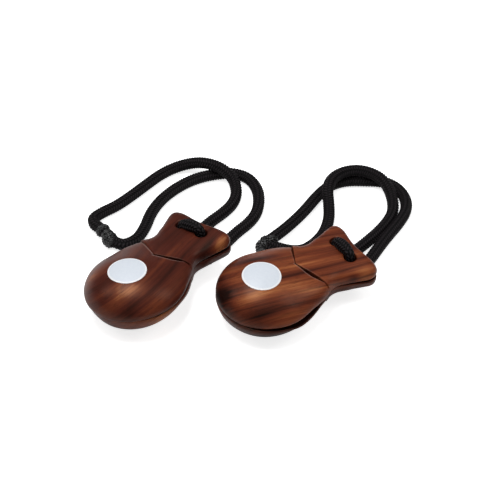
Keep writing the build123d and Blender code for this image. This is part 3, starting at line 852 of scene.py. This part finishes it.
def polyester_braid(name, deep, crown, rough, shine):
    """Black braided polyester: dull filaments with a faint silky sheen on each strand's crown; its colour is
    painted near black down between the strands, a painted shade, and dark grey on their crowns.
    """
    material, tree = bare_material(name)
    math_node = "ShaderNodeMath"
    relief = add_node(tree, "ShaderNodeAttribute", attribute_name="relief").outputs["Fac"]
    right = add_node(tree, "ShaderNodeAttribute", attribute_name="lay_right").outputs["Fac"]
    left = add_node(tree, "ShaderNodeAttribute", attribute_name="lay_left").outputs["Fac"]
    # painted shade: near black down between the strands, dark grey on their crowns
    height = add_node(tree, "ShaderNodeMapRange", {"Value": relief, "From Min": 1.1, "From Max": 1.8})
    colour = add_node(tree, "ShaderNodeMix", {0: height, 6: srgb(deep), 7: srgb(crown)},
                      data_type="RGBA").outputs[2]
    # four yarns lie side by side in each strand, about half a millimetre apart
    yarns = add_node(tree, math_node, {0: right, 1: left}, operation="ADD")
    yarns = add_node(tree, math_node, {0: yarns, 1: 4 * math.pi}, operation="MULTIPLY")
    yarns = add_node(tree, math_node, {0: yarns}, operation="SINE")
    yarns = add_node(tree, math_node, {0: yarns, 1: 0.12, 2: height}, operation="MULTIPLY_ADD")
    bump = add_node(tree, "ShaderNodeBump", {"Height": yarns, "Strength": 0.6, "Distance": 0.0003})
    shader = add_node(tree, "ShaderNodeBsdfPrincipled",
                      {"Base Color": colour, "Roughness": rough, "Normal": bump, "IOR": 1.5,
                       "Specular IOR Level": shine})
    add_node(tree, "ShaderNodeOutputMaterial", {"Surface": shader})
    return material


def coated_paper_label(name):
    """Cool white label of smooth coated paper: a satin face, faintly mottled, with a paler edge."""
    material, tree = bare_material(name)
    place = add_node(tree, "ShaderNodeTexCoord").outputs["Object"]
    mottle = add_node(tree, "ShaderNodeTexNoise", {"Vector": place, "Scale": 700.0, "Detail": 2.0})
    edge = add_node(tree, "ShaderNodeAttribute", attribute_name="edge").outputs["Fac"]
    colour = add_node(tree, "ShaderNodeMix", {0: mottle, 6: srgb("#D3DAE4"), 7: srgb("#DDE3EA")},
                      data_type="RGBA").outputs[2]
    colour = add_node(tree, "ShaderNodeMix", {0: edge, 6: colour, 7: srgb("#F2F3F5")},
                      data_type="RGBA").outputs[2]
    shader = add_node(tree, "ShaderNodeBsdfPrincipled",
                      {"Base Color": colour, "Roughness": 0.42, "IOR": 1.46})
    add_node(tree, "ShaderNodeOutputMaterial", {"Surface": shader})
    return material


LEFT_VEINS = [(-15.0, 0.4), (-9.0, 0.5), (-3.5, 0.35), (2.0, 0.5), (7.5, 0.4), (13.0, 0.5),
              (18.0, 0.5), (23.0, 0.4)]
RIGHT_VEINS = [(-22.0, 0.5), (-16.5, 0.45), (-11.6, 0.9), (-6.5, 0.35), (-1.0, 0.4), (5.1, 0.8), (12.6, 0.9),
               (16.5, 0.4), (20.3, 0.9), (25.2, 0.6)]
WOOD = {
    "left": oiled_rosewood("dark_rosewood_oiled", "#351610", "#4D2118", "#6B3420", 0.5, LEFT_VEINS, 0.3),
    "right": oiled_rosewood("striped_rosewood_oiled", "#4C2116", "#6B321F", "#8A4A2C", 0.8, RIGHT_VEINS, 0.7),
}
cord_black = polyester_braid("black_polyester_braid", "#010101", "#272225", 0.55, 0.12)
knot_black = polyester_braid("black_polyester_braid_pulled_tight", "#010101", "#191819", 0.3, 0.6)
label_white = coated_paper_label("white_coated_paper_label")


# ======================================================================================
# Shells and labels
# ======================================================================================
def label_disc(name, seat):
    """Round sticker that follows the dome: rings of points on it, with a thin edge."""
    sides = 120
    radii = [0.0, *np.linspace(0.6, 9.0, 16), 9.5, LABEL_TURN, 9.93, LABEL_RADIUS]
    turns = np.radians(np.arange(sides) * 360 / sides)
    vertices, edge, faces = [], [], []
    for radius in radii[1:]:
        x, y = LABEL_REACH + radius * np.cos(turns), radius * np.sin(turns)
        drop = 0.06 * max(0.0, (radius - LABEL_TURN) / 0.2) ** 2
        height = bowl_height(x, y) + LABEL_THICKNESS + LABEL_LIFT - drop
        vertices += np.column_stack([x, y, height]).tolist()
        edge += [1.0 if radius > LABEL_PALE else 0.0] * sides
    x, y = LABEL_REACH + LABEL_RADIUS * np.cos(turns), LABEL_RADIUS * np.sin(turns)
    vertices += np.column_stack([x, y, bowl_height(x, y) - LABEL_TUCK]).tolist()
    edge += [1.0] * sides
    crown = float(bowl_height(np.array([LABEL_REACH]), np.array([0.0]))[0])
    vertices.append([LABEL_REACH, 0.0, crown + LABEL_THICKNESS + LABEL_LIFT])
    edge.append(0.0)
    rings = len(radii)
    for k in range(rings - 1):
        for n in range(sides):
            m = (n + 1) % sides
            faces.append([k * sides + n, (k + 1) * sides + n, (k + 1) * sides + m, k * sides + m])
    center = len(vertices) - 1
    faces += [[center, n, (n + 1) % sides] for n in range(sides)]
    faces.append([(rings - 1) * sides + n for n in reversed(range(sides))])
    vertices = np.array(vertices)
    vertices[:, 2] += RIM_CLEARANCE
    piece = new_piece(name, seat.world(vertices), faces, label_white)
    store(piece.data, "edge", edge)
    piece.data.shade_smooth()
    piece.data.set_sharp_from_angle(angle=CREASE)
    return piece


seats = {side: Seat(**pair) for side, pair in PAIRS.items()}
for side, seat in seats.items():
    plan = shell_plan(seat)
    for level in ("upper", "lower"):
        shell = turned_shell(f"{side}_{level}_turned_shell", side, level, seat, plan, WOOD[side])
        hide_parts(f"{side}_{level}_shell")
        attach(shell, f"{side}_top" if level == "upper" else f"{side}_base")
    disc = label_disc(f"{side}_label_disc", seat)
    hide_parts(f"{side}_label")
    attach(disc, f"{side}_top")


# ======================================================================================
# Cords
# ======================================================================================
braid = braid_tree(cord_black)
knot_braid = braid_tree(knot_black)


def lacing_foot(seat, hand, target):
    """Where a lacing comes out under an ear on the floor, and where its strand starts."""
    hole = seat.world([-HOLE_REACH, hand * HOLE_SPACING / 2, 0.0])
    foot = hole + seat.z * (CORD_RADIUS - hole[2]) / seat.z[2]
    aim = np.asarray(target) - foot
    return foot, foot + aim / np.linalg.norm(aim) * EXIT_REACH


def lacing_path(seat, inner, outer):
    """From under the far hole, up, across the ears, and down again; with its girth on the way."""
    half = HOLE_SPACING / 2
    lower = [seat.world([-HOLE_REACH, -half, z]) for z in (-4.0, 4.0)]
    over = [seat.world([-HOLE_REACH, y, z]) for y, z in
            ((-half, 7.4), (-half + 2.4, 9.3), (half - 2.2, 10.5), (half, 8.8))]
    upper = [seat.world([-HOLE_REACH, half, z]) for z in (4.0, -4.0)]
    (foot_in, out_in), (foot_out, out_out) = inner, outer
    foot_in, foot_out = foot_in * 0.7 + out_in * 0.3, foot_out * 0.7 + out_out * 0.3
    path = spline_path([out_in, foot_in, foot_in * 0.5 + lower[0] * 0.5, *lower, *over, *upper,
                        foot_out * 0.5 + upper[1] * 0.5, foot_out, out_out])
    rise, across = (path - seat.origin) @ seat.z, (path - seat.origin) @ seat.y
    middle = np.maximum(1 - (across / half) ** 2, 0.0) * smooth((rise - 6.0) / 2.0)
    return path, 0.87 + 0.37 * middle + 0.15 * smooth((5.0 - rise) / 6.0)


def press_on_ears(mesh, seat):
    """The soft lacing is pressed flat where it crosses the ears."""
    places = read_places(mesh)
    rel = places / MM - seat.origin
    across, rise = rel @ seat.y, rel @ seat.z
    on_top = (np.abs(across) < HOLE_SPACING / 2 - HOLE_RADIUS) & (rise > EAR_HEIGHT / 2)
    lift = np.where(on_top, np.maximum(EAR_HEIGHT + RIM_CLEARANCE + 0.05 - rise, 0.0), 0.0)
    move_points(mesh, places + lift[:, None] * seat.z * MM)


def wrap(center, axis, radius, pitch, start, turns, tuck):
    """Cord wound about an axis, its two ends tucked in towards the axis."""
    center, axis = np.array(center), np.array(axis, dtype=float)
    axis /= np.linalg.norm(axis)
    side = np.cross(axis, (0.0, 0.0, 1.0))
    side /= np.linalg.norm(side)
    up = np.cross(side, axis)
    t = np.linspace(0.0, turns, round(48 * turns))[:, None]
    near_end = np.minimum(t, turns - t) / 0.22
    reach = radius * (1 - tuck * (1 - smooth(near_end)))
    turn = 2 * math.pi * (t + start)
    return center + axis * pitch * (t - turns / 2) + reach * (side * np.cos(turn) + up * np.sin(turn))


def overhand(center, heading, size, lean):
    """The cord's course in an overhand knot pulled tight, its face leaning to the front."""
    t = np.radians(np.arange(0, 361, 4))
    a, b = math.radians(heading), math.radians(lean)
    across = np.array((math.cos(a), math.sin(a), 0.0))
    rise = np.array((-math.sin(a) * math.cos(b), math.cos(a) * math.cos(b), math.sin(b)))
    face = np.cross(across, rise)
    x, y, z = np.sin(t) + 2 * np.sin(2 * t), np.cos(t) - 2 * np.cos(2 * t), -np.sin(3 * t)
    course = x[:, None] * across + 0.82 * y[:, None] * rise + 1.15 * z[:, None] * face
    return np.array(center) + size * course


KNOTS = {
    # a ring wound once about both strands, then two fat turns drawn over the end
    "left": ([wrap((-69.2, 44.0, 4.1), (0.50, -0.87, 0.0), 2.5, 1.2, 0.30, 1.25, 0.5),
              wrap((-65.4, 37.2, 4.1), (0.60, -0.80, 0.0), 2.2, 2.7, 0.05, 2.2, 0.6)],
             [1.6, 1.95]),
    # an overhand knot with a short cut tail bent down beside it
    "right": ([overhand((19.8, 33.3, 5.2), 10.0, 1.12, 52.0),
               spline_path([(18.6, 31.0, 4.8), (16.4, 33.0, 4.8), (14.4, 31.8, 4.4), (15.2, 29.2, 3.0)])],
              [1.85, 2.35]),
}

strands = {}
for side, seat in seats.items():
    feet = {strand: lacing_foot(seat, hand, STRANDS[side, strand][0])
            for strand, hand in (("inner", -1), ("outer", 1))}
    path, girth = lacing_path(seat, feet["inner"], feet["outer"])
    lacing = braided_tube(f"{side}_lacing_braid", [path], LACED_RADIUS, braid, [girth])
    press_on_ears(lacing.data, seat)
    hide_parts(f"{side}_lacing")
    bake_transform(lacing)

    for strand, (foot, exit_point) in feet.items():
        first = exit_point + (exit_point - foot) / EXIT_REACH * 0.05
        path = spline_path([first, *STRANDS[side, strand]])
        piece = braided_tube(f"{side}_{strand}_strand_braid", [path], CORD_RADIUS, braid,
                             [np.full(len(path), BRAID_SWELL)])
        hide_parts(f"{side}_{strand}_strand")
        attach(piece, f"{side}_base")
        strands[side, strand] = piece, path

    turns, radii = KNOTS[side]
    knot = braided_tube(f"{side}_knot_braid", turns, 1.0, knot_braid,
                        [np.full(len(turn), radius) for turn, radius in zip(turns, radii)],
                        pick=1.3, relief=0.22)
    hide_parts(f"{side}_knot")
    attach(knot, f"{side}_base")
    for strand in feet:
        piece, path = strands[side, strand]


# ======================================================================================
# Floor and light
# ======================================================================================
def floor_material():
    """Matt white; the view sees it a little brighter than it lights the object."""
    material, tree = bare_material("matt_white_floor")
    rays = add_node(tree, "ShaderNodeLightPath").outputs
    seen = add_node(tree, "ShaderNodeMath", {0: rays["Is Camera Ray"], 1: 0.76}, operation="MULTIPLY")
    mirrored = add_node(tree, "ShaderNodeMath", {0: rays["Is Glossy Ray"], 1: 0.15}, operation="MULTIPLY")
    seen = add_node(tree, "ShaderNodeMath", {0: seen, 1: mirrored}, operation="MAXIMUM")
    matt = add_node(tree, "ShaderNodeBsdfDiffuse", {"Color": srgb("#EBEBEB")})
    glow = add_node(tree, "ShaderNodeEmission", {"Color": srgb("#FFFFFF"), "Strength": seen})
    both = add_node(tree, "ShaderNodeAddShader", {0: matt, 1: glow})
    add_node(tree, "ShaderNodeOutputMaterial", {"Surface": both})
    return material


floor = new_piece("floor", [(-3000, -3000, 0), (3000, -3000, 0), (3000, 3000, 0), (-3000, 3000, 0)],
                  [[0, 1, 2, 3]], floor_material())


def softbox(name, place, aim, width, height, power):
    lamp = bpy.data.lights.new(name, "AREA")
    lamp.shape = "RECTANGLE"
    lamp.size, lamp.size_y = width * MM, height * MM
    lamp.energy = power
    holder = bpy.data.objects.new(name, lamp)
    holder.location = Vector(place) * MM
    holder.rotation_euler = (Vector(aim) - Vector(place)).to_track_quat("-Z", "Y").to_euler()
    bpy.context.collection.objects.link(holder)


softbox("overhead_softbox", (-110, 40, 800), (0, 10, 0), 480, 330, 4.1)
softbox("left_softbox", (-520, 40, 520), (-20, 10, 0), 260, 340, 0.6)
softbox("right_softbox", (520, 40, 520), (20, 10, 0), 260, 340, 0.8)

# a room that is dark at eye level and pale overhead
world = bpy.data.worlds.new("studio")
bpy.context.scene.world = world
world.use_nodes = True
tree = world.node_tree
tree.nodes.clear()
heading = add_node(tree, "ShaderNodeTexCoord").outputs["Generated"]
rise = add_node(tree, "ShaderNodeSeparateXYZ", {0: heading}).outputs["Z"]
strength = add_node(tree, "ShaderNodeMapRange",
                    {"Value": rise, "From Min": 0.3, "From Max": 0.95, "To Min": 0.08, "To Max": 0.42})
sky = add_node(tree, "ShaderNodeBackground", {"Color": srgb("#FFFFFF"), "Strength": strength})
add_node(tree, "ShaderNodeOutputWorld", {"Surface": sky})
